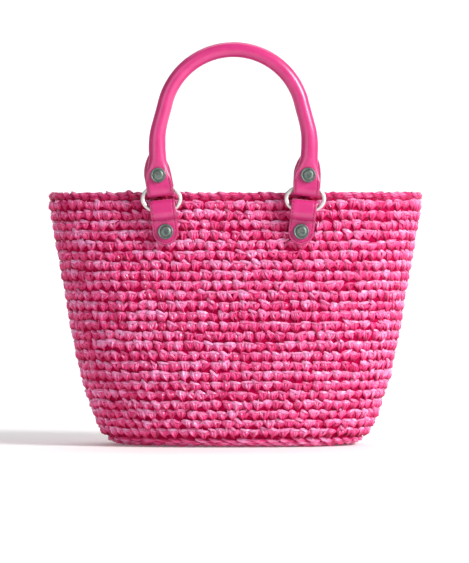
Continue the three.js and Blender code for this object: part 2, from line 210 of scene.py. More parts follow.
def oval(height, half_length, half_depth):
    """The bag's outline at a height: equally spaced points, from the rear middle anticlockwise."""
    square = SQUARE_AT_BASE + (SQUARE_AT_MOUTH - SQUARE_AT_BASE) * min(height / MOUTH_HEIGHT, 1)
    angle = np.linspace(0, 2 * math.pi, ROUND_STEPS * 4 + 1) + math.pi / 2
    cosine, sine = np.cos(angle), np.sin(angle)
    x = half_length * np.sign(cosine) * np.abs(cosine) ** (2 / square)
    y = half_depth * np.sign(sine) * np.abs(sine) ** (2 / square)
    run = np.concatenate([[0], np.cumsum(np.hypot(np.diff(x), np.diff(y)))])
    even = np.linspace(0, run[-1], ROUND_STEPS + 1)
    points = np.stack([np.interp(even, run, x), np.interp(even, run, y),
                       np.full(ROUND_STEPS + 1, height)], axis=1)
    return points, run[-1]


SMOOTHINGS = 6
PAST_EDGE = 0.06


class Skin:
    """A surface made of ovals, on which a stitch finds its place, its slope and its outward side."""

    def __init__(self, profile, steps):
        run = np.concatenate([[0], np.cumsum(np.hypot(np.diff(profile[:, 0]),
                                                      np.diff(profile[:, 1])))])
        self.length = run[-1]
        self.steps = steps
        even = np.linspace(0, self.length, steps + 1)
        rows = [[np.interp(s, run, profile[:, k]) for k in range(3)] for s in even]
        smooth = np.array(rows)
        for _ in range(SMOOTHINGS):
            smooth[1:-1] = (smooth[:-2] + 2 * smooth[1:-1] + smooth[2:]) / 4
        rings = [oval(*row) for row in smooth]
        self.points = np.array([ring[0] for ring in rings])
        self.girth = np.array([ring[1] for ring in rings])
        around = np.roll(self.points[:, :-1], -1, 1) - np.roll(self.points[:, :-1], 1, 1)
        around = np.concatenate([around, around[:, :1]], 1)
        upward = np.gradient(self.points, axis=0)
        out = np.cross(around, upward)
        self.out = out / np.linalg.norm(out, axis=2, keepdims=True)

    def girth_at(self, climb):
        return float(np.interp(climb, np.linspace(0, self.length, self.steps + 1), self.girth))

    def place(self, turn, climb, out):
        """World points from turns round the bag, distance up the wall and distance outwards."""
        column = np.mod(turn, 1) * ROUND_STEPS
        row = np.clip(climb / self.length, -PAST_EDGE, 1 + PAST_EDGE) * self.steps
        i = np.clip(np.floor(row).astype(int), 0, self.steps - 1)
        j = np.floor(column).astype(int) % ROUND_STEPS
        v = (row - i)[:, None]
        u = (column - np.floor(column))[:, None]
        both = []
        for table in (self.points, self.out):
            low = table[i, j] * (1 - u) + table[i, j + 1] * u
            high = table[i + 1, j] * (1 - u) + table[i + 1, j + 1] * u
            both.append(low * (1 - v) + high * v)
        return both[0] + both[1] * out[:, None]


def lobe(sides, rounds):
    """One loop of raffia, modelled once as a ball of few faces and read as points and faces."""
    bpy.ops.object.select_all(action="DESELECT")
    bpy.ops.mesh.primitive_uv_sphere_add(segments=sides, ring_count=rounds, radius=1,
                                         rotation=(math.pi / 2, 0, 0))
    ball = bpy.context.object
    bpy.ops.object.transform_apply(rotation=True)
    points = np.array([vertex.co[:] for vertex in ball.data.vertices])
    faces = [tuple(face.vertices) for face in ball.data.polygons]
    bpy.data.objects.remove(ball)
    return points, faces


def mesh_of(name, points, faces, along=None, tone=None, crest=None, smooth=True):
    """A smooth-shaded object from points and faces, with strand coordinates, tone and painted light.
    """
    mesh = bpy.data.meshes.new(name)
    mesh.from_pydata(points.tolist(), [], faces)
    if along is not None:
        layer = mesh.uv_layers.new(name="strand")
        corner = np.empty(len(mesh.loops), dtype=np.int32)
        mesh.loops.foreach_get("vertex_index", corner)
        layer.data.foreach_set("uv", along[corner].ravel())
    for key, values in (("tone", tone), ("crest", crest)):
        if values is not None:
            mesh.attributes.new(key, "FLOAT", "POINT").data.foreach_set("value", values)
    mesh.polygons.foreach_set("use_smooth", np.full(len(mesh.polygons), smooth))
    mesh.update()
    piece = bpy.data.objects.new(name, mesh)
    bpy.context.collection.objects.link(piece)
    return piece


MM = 0.001
# A loop has a few creases along it. It is wider towards its upper end, and both ends sink in.
FOLDS = 6
TAPER = 0.3
DROOP = 0.0009
# How one stitch differs from the next: in shares of its size, in degrees of lean, and in millimetres
# across, up and out.
SIZE_SPREAD, FOLD_SPREAD, CRUMPLE = 0.13, 0.13, 0.08
SMALLEST, LARGEST = 0.74, 1.3
LEAN_SHAKE, LEAN_DRIFT = 11, 7
PLACE_DRIFT = (0.45, 0.32, 0.28)
PLACE_SHAKE = (0.25, 0.25, 0.22)
WAVE_HEIGHT = 0.27
WAVES_ROUND = (3, 8, 17)
# Painted highlight on the crest of a loop, with painted shade below it: where it begins, and how far
# out and up it takes to reach the full painted highlight.
PAINTED_LIGHT_START, PAINTED_LIGHT_TIP = 0.38, 0.10
PAINTED_LIGHT_OUT, PAINTED_LIGHT_UP = 0.006, 0.009


def crochet(name, skin, rows, loops, template, seed, depth, unrest=1.0):
    """Rounds of stitches on a skin. A row is a distance up the skin, a count and a start. A stitch is
    a few loops, each with its middle, half sizes, lean and curl in millimetres and degrees, and
    unrest says how much one stitch differs from the next."""
    rng = np.random.default_rng(seed)
    shape, faces = template
    length = shape[:, 1]
    bow = length ** 2
    around = np.arctan2(shape[:, 2], shape[:, 0])
    fold_of = np.round(around / (2 * math.pi) * FOLDS).astype(int) % FOLDS
    blocks, strands, tones, painted_lights, all_faces = [], [], [], [], []
    count = 0
    for climb, stitches, start in rows:
        girth = skin.girth_at(climb)
        phase = rng.uniform(0, 2 * math.pi, 3)
        for stitch in range(stitches):
            *drift, lean_drift, _ = rng.normal(0, unrest, 5)
            tone = rng.uniform()
            round_at = 2 * math.pi * stitch / stitches
            wave = sum(WAVE_HEIGHT * math.sin(k * round_at + phase[n])
                       for n, k in enumerate(WAVES_ROUND))
            for middle, half, lean, curl in loops:
                spread = SIZE_SPREAD * unrest * rng.normal(0, 1, 3)
                size = np.clip(1 + spread, SMALLEST, LARGEST)
                fold = 1 + FOLD_SPREAD * rng.normal(0, 1, FOLDS)
                crumple = 1 + CRUMPLE * rng.normal(0, 1, shape.shape)
                local = shape * crumple * np.array(half) * size * MM
                local[:, 0] *= fold[fold_of] * (1 + TAPER * length)
                local[:, 2] *= fold[fold_of]
                local[:, 0] += curl * MM * bow
                angle = math.radians(lean + unrest * LEAN_SHAKE * rng.normal()
                                     + LEAN_DRIFT * lean_drift)
                shake = unrest * rng.normal(0, 1, 3)
                shift = (np.array(middle) + np.array(PLACE_DRIFT) * drift
                         + np.array(PLACE_SHAKE) * shake) * MM
                x = local[:, 0] * math.cos(angle) - local[:, 1] * math.sin(angle) + shift[0]
                y = local[:, 0] * math.sin(angle) + local[:, 1] * math.cos(angle) + shift[1]
                y += unrest * wave * MM
                z = local[:, 2] + shift[2] - DROOP * bow
                turn = (stitch + start) / stitches + x / girth
                blocks.append(np.stack([turn, climb + y, depth + z], axis=1))
                # Painted light: points further out and higher up on a loop get a lighter colour,
                # sunken and lower points a darker one.
                wear_and_painted_light = PAINTED_LIGHT_START + z / PAINTED_LIGHT_OUT + PAINTED_LIGHT_TIP * length + y / PAINTED_LIGHT_UP
                painted_lights.append(np.clip(wear_and_painted_light, 0, 1))
                tones.append(np.full(len(shape), np.clip(0.7 * tone + 0.3 * rng.uniform(), 0, 1)))
                offset = rng.uniform(0, 40, 2)
                strands.append(np.stack([offset[0] + length, offset[1] + around / math.pi], axis=1))
                all_faces += [tuple(count + k for k in face) for face in faces]
                count += len(shape)
    placed = np.concatenate(blocks)
    points = skin.place(placed[:, 0], placed[:, 1], placed[:, 2])
    return mesh_of(name, points, all_faces, np.concatenate(strands).astype(np.float32),
                   np.concatenate(tones).astype(np.float32),
                   np.concatenate(painted_lights).astype(np.float32), smooth=False)


def raffia_finish(name, gap_shade, shade, body, light, gloss, sheen=0.5):
    """Dyed raffia: long fibres along each loop, a painted highlight on each loop's crest and painted
    shade, deep crimson, in the hollows.
    """
    material, shader, place = finish_named(name, specular_ior_level=0.5 * sheen, coat_weight=sheen,
                                           coat_roughness=0.24)
    strand = Socket(place.tree, place.node("ShaderNodeUVMap", {"uv_map": "strand"}, {}).link)
    tone = place.node("ShaderNodeAttribute", {"attribute_name": "tone"}, {}, output=2)
    crest = place.node("ShaderNodeAttribute", {"attribute_name": "crest"}, {}, output=2)
    fibre = strand.stretched(0.8, 7, 1).noise(2.2, detail=4)
    crease = strand.stretched(0.35, 3.2, 1).noise(1.5, detail=2)
    patch = place.noise(70, detail=2)
    # Painted light and shade: the outer, upper parts of each loop get a lighter colour up to the
    # painted highlight, the sunken, lower parts a darker one down to the painted shade of the gaps;
    # tone, fibres, creases and patches vary at random.
    level = crest * 0.60 + tone * 0.24 + fibre * 0.75 + crease * 0.75 + patch * 0.2 - 0.75
    colour = level.ramp((0.05, gap_shade), (0.3, shade), (0.58, body), (0.92, light))
    feed(shader, colour, fibre * 0.34 + gloss, crease * 1.0 + fibre * 0.5, 0.0016)
    return material


def fasten(piece, body, slot, finish, *nodes):
    """Gives a piece its finish and fixes it to its body, in place of the nodes that it stands for."""
    piece.data.materials.clear()
    piece.data.materials.append(finish)
    if nodes:
        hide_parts(*nodes)
    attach(piece, body)


wall_skin = Skin(WALL_PROFILE, 96)
ROW_PITCH = 0.0080
STITCH_PITCH = 0.0080
ROW_START = 0.46
RIM_BAND = 0.0104
STITCH_DEPTH = -0.0024
RIDGE_DEPTH = -0.0047
LOOP_BALL = lobe(FOLDS, 5)
RIDGE_BALL = lobe(FOLDS, 4)


def stitches_at(skin, climb):
    return int(round(skin.girth_at(climb) / STITCH_PITCH))


top_row = wall_skin.length - RIM_BAND
row_count = int((top_row + MM) / ROW_PITCH) + 1
wall_rows = []
for number in range(row_count):
    climb = top_row - ROW_PITCH * (row_count - 1 - number)
    wall_rows.append((climb, stitches_at(wall_skin, climb), ROW_START * number))

# A strand along the top of the stitch, and a fan of creased ones under it that meet in its point.
V_STITCH = (
    ((0.0, 2.5, 0.2), (1.6, 5.0, 1.8), 84, 0.0),
    ((-2.5, -0.2, -0.3), (1.6, 4.5, 1.6), 22, 0.4),
    ((2.5, -0.3, -0.4), (1.6, 4.5, 1.6), -29, -0.4),
    ((-0.9, -0.7, 0.5), (1.4, 4.4, 1.7), 14, 0.2),
    ((0.9, -0.8, 0.2), (1.4, 4.4, 1.7), -8, -0.2),
)
# The gap and shade colours are painted shade and the light colour a painted highlight; the body colour
# is the raffia's own pink.
raffia = raffia_finish("pink_raffia", gap_shade=(0.34, 0.0, 0.042), shade=(0.66, 0.003, 0.108),
                       body=(0.92, 0.048, 0.262), light=(1.0, 0.44, 0.76), gloss=0.24)
for name, rows, seed, nodes in (("wall_stitches_lower", wall_rows[:9], 7, ["wall"]),
                                ("wall_stitches_middle", wall_rows[9:17], 8, []),
                                ("wall_stitches_upper", wall_rows[17:], 9, [])):
    wall_outside = crochet(name, wall_skin, rows, V_STITCH, LOOP_BALL, seed, STITCH_DEPTH)
    fasten(wall_outside, "bag", "raffia", raffia, *nodes)

RIDGE_STITCH = (
    ((0.0, 2.2, 0.3), (1.7, 5.0, 1.5), 82, 0),
    ((-1.2, -1.8, 0.0), (2.4, 2.9, 1.3), -20, 0),
)
wall_inside = crochet("wall_inner_ridges", wall_skin, wall_rows, RIDGE_STITCH, RIDGE_BALL, 8,
                      RIDGE_DEPTH)
fasten(wall_inside, "bag", "raffia", raffia)


def web(name, skin, outer, inner, low, high, steps, around=180):
    """The tangle of raffia in the middle of the crochet: a thin closed shell that stops the light."""
    climbs = np.linspace(low, high, steps)
    turns = np.arange(around) / around
    rings = [(climb, outer) for climb in climbs] + [(climb, inner) for climb in climbs[::-1]]
    points = np.concatenate([skin.place(turns, np.full(around, c), np.full(around, o))
                             for c, o in rings])
    faces = []
    for k in range(len(rings)):
        for i in range(around):
            n = (i + 1) % around
            a, b = k * around, ((k + 1) % len(rings)) * around
            faces.append((a + i, a + n, b + n, b + i))
    return mesh_of(name, points, faces)


# Painted shade: the shell behind the stitches is coloured a deep, dim crimson, darker than the raffia,
# for the shadow in the hollows.
HOLLOW_DARK, HOLLOW_LIGHT = (0.24, 0.0, 0.028), (0.47, 0.001, 0.060)
painted_shade_hollow, hollow_shader, where = finish_named("raffia_in_shadow", roughness=0.8,
                                            specular_ior_level=0.05)
feed(hollow_shader, where.noise(400).ramp((0.3, HOLLOW_DARK), (0.7, HOLLOW_LIGHT)))
wall_web = web("wall_web", wall_skin, outer=-0.0026, inner=-0.0042, low=0.0005,
               high=wall_skin.length - 0.004, steps=60)
fasten(wall_web, "bag", "raffia", painted_shade_hollow)

# ---------------------------------------------------------------------------------------------
# The rim: one closing round of slip stitches. Its strands lie along the edge like a flat plait, and
# it draws the mouth in so that it stays level.

RIM_OUTER = (((-0.6, 0.0, 0.1), (1.7, 6.0, 2.0), 79, 0.5),
             ((0.7, -1.6, 0.1), (1.5, 5.3, 1.8), 79, 0.3),
             ((0.0, -2.8, -0.5), (1.6, 4.8, 1.6), 88, 0.0))
RIM_INNER = (((0.0, 0.0, 0.0), (2.0, 6.2, 2.0), -80, -0.4),)
RIM_DROP, RIM_START = 0.0022, 0.2
RIM_UNREST = 0.38
RIM_BALL = lobe(FOLDS, 7)
rim_rows = [(wall_skin.length - RIM_DROP, wall_rows[-1][1], RIM_START)]
# As on the wall, the gap and shade colours are painted shade and the light colour a painted highlight.
rim_finish = raffia_finish("pink_raffia_rim", gap_shade=(0.28, 0.0, 0.034), shade=(0.54, 0.002, 0.084),
                           body=(0.80, 0.032, 0.205), light=(1.0, 0.34, 0.64), gloss=0.30,
                           sheen=0.4)
for name, loops, seed, depth, nodes in (
    ("rim_plait", RIM_OUTER, 11, -0.0026, ["rim_round"]),
    ("rim_plait_inside", RIM_INNER, 12, -0.0050, []),
):
    plait = crochet(name, wall_skin, rim_rows, loops, RIM_BALL, seed, depth, RIM_UNREST)
    fasten(plait, "bag", "raffia", rim_finish, *nodes)

# ---------------------------------------------------------------------------------------------
# The base: an oval of the same crochet, worked outwards from a short chain in its middle, lying flat
# on the table, with its stitches pressed level underneath.

BASE_PROFILE = np.array([(0.0, 0.0475, 0.0030), (0.0, 0.0600, 0.0150), (0.0, 0.0895, 0.0440)])
base_skin = Skin(BASE_PROFILE, 40)
FIRST_ROW = 0.55
TABLE_GAP = 0.0003


def keep_above_table(piece):
    """Presses the stitches that would reach lower level with the table."""
    for vertex in piece.data.vertices:
        vertex.co.z = max(vertex.co.z, TABLE_GAP)


base_rows = []
for number in range(int(base_skin.length / ROW_PITCH)):
    climb = ROW_PITCH * (number + FIRST_ROW)
    base_rows.append((climb, stitches_at(base_skin, climb), ROW_START * number))
base_under = crochet("base_stitches", base_skin, base_rows, V_STITCH, LOOP_BALL, 21, -0.0026)
base_floor = crochet("base_inner_ridges", base_skin, base_rows, RIDGE_STITCH, RIDGE_BALL, 22,
                     -0.0052)
base_web = web("base_web", base_skin, outer=-0.0029, inner=-0.0048, low=0.0,
               high=base_skin.length + 0.002, steps=20)
for piece, finish, nodes in ((base_under, raffia, ["base_panel"]), (base_floor, raffia, []),
                             (base_web, painted_shade_hollow, [])):
    keep_above_table(piece)
    fasten(piece, "bag", "raffia", finish, *nodes)

# ---------------------------------------------------------------------------------------------
# The welt round: a thicker round of plain twisted strands at the turn of the base, which folds the
# flat base up into the wall and takes the wear of the table.

WELT_PROFILE = np.array([
    (0.0002, 0.0900, 0.0445), (0.0012, 0.0965, 0.0505), (0.0040, 0.1020, 0.0558),
    (0.0078, 0.1054, 0.0592), (0.0120, 0.1082, 0.0616),
])
WELT_PITCH = 0.0105
WELT_STRAND = (((0.0, 0.0, 0.0), (2.0, 7.0, 2.2), 83, 0.3),)
welt_skin = Skin(WELT_PROFILE, 16)
welt_count = int(round(welt_skin.girth_at(0.008) / WELT_PITCH))
welt_rows = [(climb, welt_count, start)
             for climb, start in ((0.0008, 0.0), (0.0045, 0.4), (0.0082, 0.8), (0.0120, 0.3))]
welt = crochet("welt_round", welt_skin, welt_rows, WELT_STRAND, RIM_BALL, 31, -0.0020, unrest=0.4)
keep_above_table(welt)
fasten(welt, "bag", "raffia", raffia, "base_welt_round")
welt_web = web("welt_web", welt_skin, outer=-0.0030, inner=-0.0052, low=0.0, high=welt_skin.length,
               steps=8)
fasten(welt_web, "bag", "raffia", painted_shade_hollow)

# ---------------------------------------------------------------------------------------------
# The tabs: four short straps of pink leather. Each is folded over its ring, its two leaves are sewn
# together round the edge and across under the ring, and one stud holds both to the wall.

pivots = {joint["name"]: Vector(joint["pos_m"]) for joint in frame["joints"]}
ring_pivot = pivots["front_left_ring_swing"]
RING_SPREAD = -ring_pivot.x
RING_ARM = pivots["front_handle_swing"].z - ring_pivot.z
STRAP_SHIFT = 0.0012
TOE_IN = math.radians(6.5)
WALL_LEAN = math.radians(5.5)
REST_TURNS = {"front": (0, 0), "rear": (math.radians(135), math.radians(45))}
# The four stations: the side, 1 or -1 along its width, and the words that its pieces begin with.
STATIONS = [("front", -1, "front_left"), ("front", 1, "front_right"),
            ("rear", -1, "rear_right"), ("rear", 1, "rear_left")]
# Half the width and half the thickness of the straps.
STRAP = 0.0100
LEATHER = 0.0008
# How square the section of a strap is, and from where on a section counts as flat, with painted edges.
SQUARE_EDGE = 5.5
FLAT_SECTION = 2.4
THREAD_LIFT = 0.00004


def turned_about(axis, angle):
    return Matrix.Rotation(angle, 4, axis)


def place_of(side, hand, part):
    """Where a tab, a ring, a handle or a handle's end stands at rest, as a matrix."""
    ring_turn, handle_turn = REST_TURNS[side]
    half = turned_about("Z", math.pi if side == "rear" else 0)
    across = Matrix.Translation((hand * RING_SPREAD, 0, 0))
    tab_across = Matrix.Translation((hand * (RING_SPREAD - STRAP_SHIFT), 0, 0))
    end_across = Matrix.Translation((hand * (RING_SPREAD + STRAP_SHIFT), 0, 0))
    tab = half @ Matrix.Translation((0, ring_pivot.y, ring_pivot.z))
    if part == "tab":
        return tab @ tab_across @ turned_about("X", -WALL_LEAN) @ turned_about("Y", hand * TOE_IN)
    ring = tab @ turned_about("X", ring_turn)
    if part == "ring":
        return ring @ across @ Matrix.Translation((0, 0, RING_ARM / 2))
    handle = ring @ Matrix.Translation((0, 0, RING_ARM)) @ turned_about("X", handle_turn)
    if part == "handle":
        return handle
    return handle @ end_across @ turned_about("Y", hand * TOE_IN)


def sleeve(name, stations, sides):
    """A leather skin through stations. Each has a middle, a width and a thickness direction, half
    the width, half the thickness and how square its section is."""
    points, strand, edge = [], [], []
    run = 0
    before = None
    for middle, wide, thick, half_width, half_thickness, square in stations:
        run += 0 if before is None else (middle - before).length
        before = middle
        for k in range(sides):
            angle = 2 * math.pi * k / sides
            c = math.copysign(abs(math.cos(angle)) ** (2 / square), math.cos(angle))
            d = math.copysign(abs(math.sin(angle)) ** (2 / square), math.sin(angle))
            points.append(middle + wide * (half_width * c) + thick * (half_thickness * d))
            strand.append((angle / math.pi, run * 100))
            edge.append(abs(c) if square > FLAT_SECTION else 0.0)
    faces = []
    for row in range(len(stations) - 1):
        for k in range(sides):
            n = (k + 1) % sides
            a, b = row * sides, (row + 1) * sides
            faces.append((a + k, a + n, b + n, b + k))
    last = (len(stations) - 1) * sides
    faces.append(tuple(range(sides - 1, -1, -1)))
    faces.append(tuple(last + k for k in range(sides)))
    piece = mesh_of(name, np.array([p[:] for p in points]), faces,
                    np.array(strand, dtype=np.float32), tone=np.array(edge, dtype=np.float32))
    bpy.ops.object.select_all(action="DESELECT")
    piece.select_set(True)
    bpy.context.view_layer.objects.active = piece
    bpy.ops.object.mode_set(mode="EDIT")
    bpy.ops.mesh.select_all(action="SELECT")
    bpy.ops.mesh.normals_make_consistent(inside=False)
    bpy.ops.object.mode_set(mode="OBJECT")
    return piece


def settle(piece, matrix, body, slot, finish, *nodes):
    """Puts a piece in its place, gives it its finish and fixes it to its body."""
    piece.data.transform(matrix)
    fasten(piece, body, slot, finish, *nodes)


def leather_finish(name, body, edge_colour, light):
    """Smooth dyed leather: pores and faint creases, darker painted edges and a pressed sewing line."""
    material, shader, place = finish_named(name, specular_ior_level=0.4, coat_weight=0.7,
                                           coat_roughness=0.22)
    edge = place.node("ShaderNodeAttribute", {"attribute_name": "tone"}, {}, output=2)
    cloud = place.noise(90, detail=3)
    pores = place.node("ShaderNodeTexVoronoi", {}, {"Vector": place, "Scale": 1500})
    grain = place.noise(900, detail=4)
    creases = place.stretched(1, 1, 2.2).noise(260, detail=3)
    tint = (cloud * 0.7 + grain * 0.3).ramp((0.3, body), (0.75, light))
    painted = edge.ramp((0.93, (0, 0, 0)), (0.985, (1, 1, 1)))
    colour = painted.mixed(tint, edge_colour)
    sewing = edge.ramp((0.70, (1, 1, 1)), (0.79, (0.1, 0.1, 0.1)), (0.88, (1, 1, 1)))
    feed(shader, colour, cloud * 0.2 + grain * 0.12 + 0.24,
         pores * 0.22 + grain * 0.35 + creases * 0.3 + sewing * 1.1, 0.00022)
    return material


# Half the width, length and height of one sewing stitch, and how far it strays from its run.
THREAD_SIZE = (0.00036, 0.00122, 0.00034)
THREAD_STRAY = 0.08


def stitch_line(name, spots, seed):
    """A row of sewing stitches: short plump threads, each at a spot with its run and its outward."""
    rng = np.random.default_rng(seed)
    shape, faces = lobe(6, 4)
    sized = shape * THREAD_SIZE
    points, all_faces = [], []
    for spot, run, outward in spots:
        side = run.cross(outward).normalized()
        run = (run + side * THREAD_STRAY * rng.normal()).normalized()
        count = len(points)
        for x, y, z in sized:
            points.append(spot + side * x + run * y + outward * z)
        all_faces += [tuple(count + k for k in face) for face in faces]
    return mesh_of(name, np.array([p[:] for p in points]), all_faces)


leather = leather_finish("pink_leather", body=(0.53, 0.020, 0.158), edge_colour=(0.33, 0.008, 0.080),
                         light=(0.65, 0.036, 0.212))
THREAD_DARK, THREAD_LIGHT = (0.26, 0.006, 0.055), (0.42, 0.02, 0.11)
thread, thread_shader, where = finish_named("pink_thread", roughness=0.55)
feed(thread_shader, where.noise(2500).ramp((0.3, THREAD_DARK), (0.7, THREAD_LIGHT)))

# In a side view, a point is how far behind the ring's pivot it lies, and how high above it.
FOLD_RADIUS = 0.004256
FOLD_MIDDLE = 0.002988
FRONT_LEAF = 0.0026
STUD_DROP = 0.0169
ACROSS = Vector((1, 0, 0))
# The front leaf comes down from the fold, leaves room for the ring and meets the back leaf.
UNDER_RING = [(-0.00438, 0.0014), (-0.0046, -0.0004), (-0.0048, -0.0022), (-0.0045, -0.0041),
              (-0.0032, -0.0055), (-0.0013, -0.0064), (0.0007, -0.0071), (0.0020, -0.0081),
              (FRONT_LEAF, -0.0096), (FRONT_LEAF, -0.0125)]
TIP_STEPS = 12


def leaf_half_width(height):
    """Half the width of a leaf of the tab, whose lower end is round about the stud."""
    below = -STUD_DROP - height
    if below <= 0:
        return STRAP
    narrowest = 0.0000004
    return math.sqrt(max(STRAP ** 2 - below ** 2, narrowest))


def tab_side():
    """The middle of the leather from the side: up the back leaf, over the ring and down in front."""
    lowest = -STUD_DROP - STRAP
    tip = [k / TIP_STEPS * math.pi / 2 for k in range(TIP_STEPS + 1)]
    line = [(FOLD_RADIUS, lowest + (1 - math.cos(angle)) * STRAP) for angle in tip]
    line += [(FOLD_RADIUS, height) for height in (-0.0125, -0.008, -0.004, 0, 0.0015)]
    for angle in (2 * angle for angle in tip):
        line.append((FOLD_RADIUS * math.cos(angle), FOLD_MIDDLE + FOLD_RADIUS * math.sin(angle)))
    line += UNDER_RING
    line += [(FRONT_LEAF, lowest + math.cos(angle) * STRAP) for angle in tip]
    return line


TAB_SIDE = tab_side()


def facing(line, k):
    """The way along a side view at one of its points."""
    y0, z0 = line[max(k - 1, 0)]
    y1, z1 = line[min(k + 1, len(line) - 1)]
    return Vector((0, y1 - y0, z1 - z0)).normalized()


def tab_stations():
    """The sections of a tab's leather, from the foot of its back leaf to the foot of its front one."""
    stations = []
    for k, (y, z) in enumerate(TAB_SIDE):
        along = facing(TAB_SIDE, k)
        face = Vector((0, along.z, -along.y))
        stations.append((Vector((0, y, z)), ACROSS, face, leaf_half_width(z), LEATHER, SQUARE_EDGE))
    return stations


SEAM_GAP = 0.0026
SEAM_REACH = STRAP - 0.0017
SEAM_FIRST, SEAM_LAST = 18, 42
TIP_STITCHES = 13
CROSS_STITCHES, CROSS_GAP = 6, 0.0028
CROSS_PLACE = (-0.0003, -0.0076)


def tab_seams():
    """The stitches of a tab: along both edges, round the tip and across under the ring."""
    path = [Vector((0, y, z)) for y, z in TAB_SIDE[SEAM_FIRST:SEAM_LAST]]
    spots = []
    carried = SEAM_GAP / 2
    for start, end in zip(path, path[1:]):
        run = end - start
        along = run.normalized()
        outward = Vector((0, along.z, -along.y))
        while carried < run.length:
            at = start + run * (carried / run.length)
            for edge in (-1, 1):
                across = Vector((edge * SEAM_REACH, 0, 0))
                spots.append((at + across + outward * (LEATHER + THREAD_LIFT), along, outward))
            carried += SEAM_GAP
        carried -= run.length
    front = FRONT_LEAF - LEATHER - THREAD_LIFT
    for k in range(TIP_STITCHES):
        angle = math.pi * (k + 0.5) / TIP_STITCHES
        at = Vector((SEAM_REACH * math.cos(angle), front, -STUD_DROP - SEAM_REACH * math.sin(angle)))
        spots.append((at, Vector((-math.sin(angle), 0, -math.cos(angle))), Vector((0, -1, 0))))
    for k in range(CROSS_STITCHES):
        at = Vector(((k - (CROSS_STITCHES - 1) / 2) * CROSS_GAP, *CROSS_PLACE))
        spots.append((at, ACROSS, Vector((0, -0.35, -0.94)).normalized()))
    return spots


for side, hand, spot in STATIONS:
    tab = sleeve(f"{spot}_tab_leaves", tab_stations(), 28)
    settle(tab, place_of(side, hand, "tab"), "bag", "leather", leather, f"{spot}_tab")
    sewing = stitch_line(f"{spot}_tab_sewing", tab_seams(), 41)
    settle(sewing, place_of(side, hand, "tab"), "bag", "leather", thread)

# ---------------------------------------------------------------------------------------------
# The rings: four plain oval rings of silver-coloured wire, bent round and butted, one through each
# tab and the end of its handle.

SILVER_DULL, SILVER_BRIGHT = (0.72, 0.71, 0.69), (0.84, 0.83, 0.81)
silver, silver_shader, where = finish_named("ring_silver", metallic=1.0)
haze = where.noise(300, detail=4)
scratch = where.stretched(1, 1, 6).noise(900, detail=2)
feed(silver_shader, haze.ramp((0.3, SILVER_DULL), (0.7, SILVER_BRIGHT)),
     haze * 0.16 + scratch * 0.1 + 0.34, scratch, 0.00002)
RING_HALF_LENGTH, RING_HALF_HEIGHT, WIRE = 0.0146, 0.0100, 0.0017

for side, hand, spot in STATIONS:
    bpy.ops.object.select_all(action="DESELECT")
    bpy.ops.mesh.primitive_torus_add(major_segments=72, minor_segments=16, minor_radius=WIRE,
                                     major_radius=RING_HALF_LENGTH, rotation=(math.pi / 2, 0, 0))
    ring = bpy.context.object
    ring.name = f"{spot}_ring_wire"
    bpy.ops.object.transform_apply(rotation=True)
    for vertex in ring.data.vertices:
        angle = math.atan2(vertex.co.z, vertex.co.x)
        thick = math.hypot(vertex.co.x, vertex.co.z) - RING_HALF_LENGTH
        away = Vector((RING_HALF_HEIGHT * math.cos(angle), RING_HALF_LENGTH * math.sin(angle)))
        away.normalize()
        vertex.co.x = RING_HALF_LENGTH * math.cos(angle) + away.x * thick
        vertex.co.z = RING_HALF_HEIGHT * math.sin(angle) + away.y * thick
    bpy.ops.object.shade_smooth()
    settle(ring, place_of(side, hand, "ring"), f"{spot}_ring", "ring_metal", silver, f"{spot}_ring")

# ---------------------------------------------------------------------------------------------
# The studs: dark gunmetal heads, turned with a raised rim, a groove, a low dome and a small dimple,
# on shanks that go through the leather and the wall into flat nuts on leather washers inside.


def turned(name, profile, sides=40):
    """A turned piece: a circle drawn out and drawn in along the profile, and closed at both ends."""
    bpy.ops.object.select_all(action="DESELECT")
    radius, height = profile[0]
    bpy.ops.mesh.primitive_circle_add(vertices=sides, radius=radius, fill_type="NGON",
                                      location=(0, 0, height))
    piece = bpy.context.object
    piece.name = name
    bpy.ops.object.transform_apply(location=True)
    bpy.ops.object.mode_set(mode="EDIT")
    for (r0, h0), (r1, h1) in zip(profile, profile[1:]):
        bpy.ops.mesh.extrude_region_move(TRANSFORM_OT_translate={"value": (0, 0, h1 - h0)})
        bpy.ops.transform.resize(value=(r1 / r0, r1 / r0, 1), center_override=(0, 0, h1))
    bpy.ops.mesh.select_all(action="SELECT")
    bpy.ops.mesh.normals_make_consistent(inside=False)
    bpy.ops.object.mode_set(mode="OBJECT")
    bpy.ops.object.shade_smooth_by_angle(angle=math.radians(50))
    return piece


GUNMETAL_DARK, GUNMETAL_WORN = (0.11, 0.14, 0.13), (0.23, 0.275, 0.25)
gunmetal, gunmetal_shader, where = finish_named("gunmetal", metallic=1.0)
wear_and_painted_light = where.noise(420, detail=4)
swirl = where.noise(1800, detail=2)
feed(gunmetal_shader, wear_and_painted_light.ramp((0.3, GUNMETAL_DARK), (0.72, GUNMETAL_WORN)),
     wear_and_painted_light * 0.2 + swirl * 0.12 + 0.38, wear_and_painted_light + swirl * 0.6, 0.00006)

